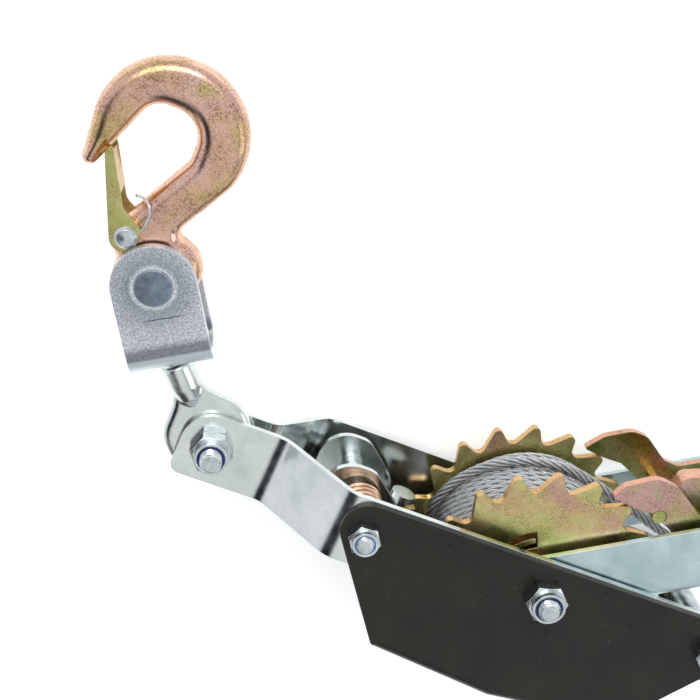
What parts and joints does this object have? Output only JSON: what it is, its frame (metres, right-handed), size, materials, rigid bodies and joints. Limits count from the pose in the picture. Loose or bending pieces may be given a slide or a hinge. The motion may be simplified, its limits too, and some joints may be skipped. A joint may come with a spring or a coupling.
{
  "type": "come along winch",
  "caption": "Hand cable puller: ratchet drum between two side straps, lever handle with drive pawl, black guard, swivelling anchor hook and wire rope with latched load hook.",
  "frame": {"origin": "centre of the drum's axle, halfway between the two side straps", "axes": "+Z along the drum's axle, +X towards the load end, +Y towards the open side of the ratchet wheels; the winch lies on its side"},
  "size_m": [0.6073, 0.2966, 0.0988],
  "materials": {
    "zinc_plate": "satin clear zinc",
    "black_paint": "satin black paint",
    "yellow_zinc": "yellow chromate over zinc",
    "pink_zinc": "yellow and pink chromate over zinc",
    "handle_zinc": "pale blue zinc",
    "bright_zinc": "bright zinc",
    "nylon_light": "moulded",
    "nylon_dark": "moulded",
    "spring_wire": "copper-toned wire",
    "galvanised_rope": "galvanised strands",
    "grip_rubber": "matte"
  },
  "bodies": {
    "frame": {"strap_upper": "zinc_plate", "strap_lower": "zinc_plate", "gear_guard": "black_paint", "front_bolt": "bright_zinc", "axle_bolt": "bright_zinc", "frame_bolts": "bright_zinc", "lock_nuts_m10": "bright_zinc", "lock_nuts_m8": "bright_zinc", "nylon_rings_m10": "nylon_dark", "nylon_rings_m8": "nylon_light", "axle_sleeve": "bright_zinc", "axle_washers": "bright_zinc", "pawl_sleeve": "bright_zinc", "rear_spacer": "bright_zinc", "holding_pawl_spring": "spring_wire", "rope_run": "galvanised_rope"},
    "holding_pawl": {"holding_pawl": "zinc_plate"},
    "drum": {"drum_tube": "yellow_zinc", "ratchet_upper": "yellow_zinc", "ratchet_lower": "yellow_zinc", "drum_washers": "yellow_zinc", "rope_winding": "galvanised_rope"},
    "handle": {"handle_channel": "handle_zinc", "handle_grip": "grip_rubber", "drive_pawl_pin": "handle_zinc", "drive_pawl_spring": "spring_wire"},
    "drive_pawl": {"drive_pawl": "pink_zinc", "drive_pawl_catch": "yellow_zinc"},
    "swivel_eye": {"swivel_eye": "zinc_plate"},
    "yoke": {"yoke": "zinc_plate", "yoke_rivet": "zinc_plate"},
    "anchor_hook": {"anchor_hook": "pink_zinc", "anchor_latch_rivet": "bright_zinc", "anchor_latch_spring": "spring_wire"},
    "anchor_latch": {"anchor_latch": "yellow_zinc"},
    "load_end": {"rope_ferrule": "bright_zinc", "rope_loop": "galvanised_rope", "rope_thimble": "bright_zinc"},
    "load_hook": {"load_hook": "pink_zinc", "load_latch_rivet": "bright_zinc", "load_latch_spring": "spring_wire"},
    "load_latch": {"load_latch": "yellow_zinc"}
  },
  "joints": [
    {"name": "eye_swing", "type": "hinge", "parent": "frame", "child": "swivel_eye", "pos_m": [-0.1615, 0, 0], "axis": [0, 0, 1], "range_deg": [-58, 150]},
    {"name": "yoke_swivel", "type": "hinge", "parent": "swivel_eye", "child": "yoke", "pos_m": [-0.19151, 0.03218, 0], "axis": [-0.682, 0.7314, 0], "continuous": true},
    {"name": "anchor_hook_swing", "type": "hinge", "parent": "yoke", "child": "anchor_hook", "pos_m": [-0.21191, 0.06483, 0], "axis": [0, 0, 1], "range_deg": [-80, 65]},
    {"name": "anchor_latch_open", "type": "hinge", "parent": "anchor_hook", "child": "anchor_latch", "pos_m": [-0.22991, 0.07973, 0], "axis": [0, 0, 1], "range_deg": [-20, 0], "stiffness_Nm_per_rad": 0.03, "springref_deg": 20.05, "deforming": ["anchor_latch_spring"]},
    {"name": "handle_swing", "type": "hinge", "parent": "frame", "child": "handle", "pos_m": [0, 0, 0], "axis": [0, 0, 1], "range_deg": [0, 80]},
    {"name": "drum_spin", "type": "hinge", "parent": "frame", "child": "drum", "pos_m": [0, 0, 0], "axis": [0, 0, 1], "range_deg": [0, 80]},
    {"name": "drive_pawl_lift", "type": "hinge", "parent": "handle", "child": "drive_pawl", "pos_m": [0.071, 0.04489, 0], "axis": [0, 0, 1], "range_deg": [-25, 0], "stiffness_Nm_per_rad": 0.4, "springref_deg": 17.19},
    {"name": "holding_pawl_swing", "type": "hinge", "parent": "frame", "child": "holding_pawl", "pos_m": [-0.0895, 0, 0], "axis": [0, 0, 1], "range_deg": [-6, 9], "stiffness_Nm_per_rad": 0.4},
    {"name": "load_slide", "type": "slide", "parent": "frame", "child": "load_end", "axis": [0.965, -0.2622, 0], "range_m": [-0.066, 0], "deforming": ["rope_run"]},
    {"name": "load_hook_swing", "type": "hinge", "parent": "load_end", "child": "load_hook", "pos_m": [0.24813, -0.0185, -0.00245], "axis": [0, 0, 1], "range_deg": [-35, 35]},
    {"name": "load_latch_open", "type": "hinge", "parent": "load_hook", "child": "load_latch", "pos_m": [0.27026, -0.01029, -0.00245], "axis": [0, 0, 1], "range_deg": [-20, 0], "stiffness_Nm_per_rad": 0.03, "springref_deg": 20.05, "deforming": ["load_latch_spring"]}
  ],
  "couplings": [
    {"joint": "drum_spin", "follows": "handle_swing", "ratio": 1},
    {"joint": "load_slide", "follows": "handle_swing", "m_per_rad": -0.0472}
  ]
}
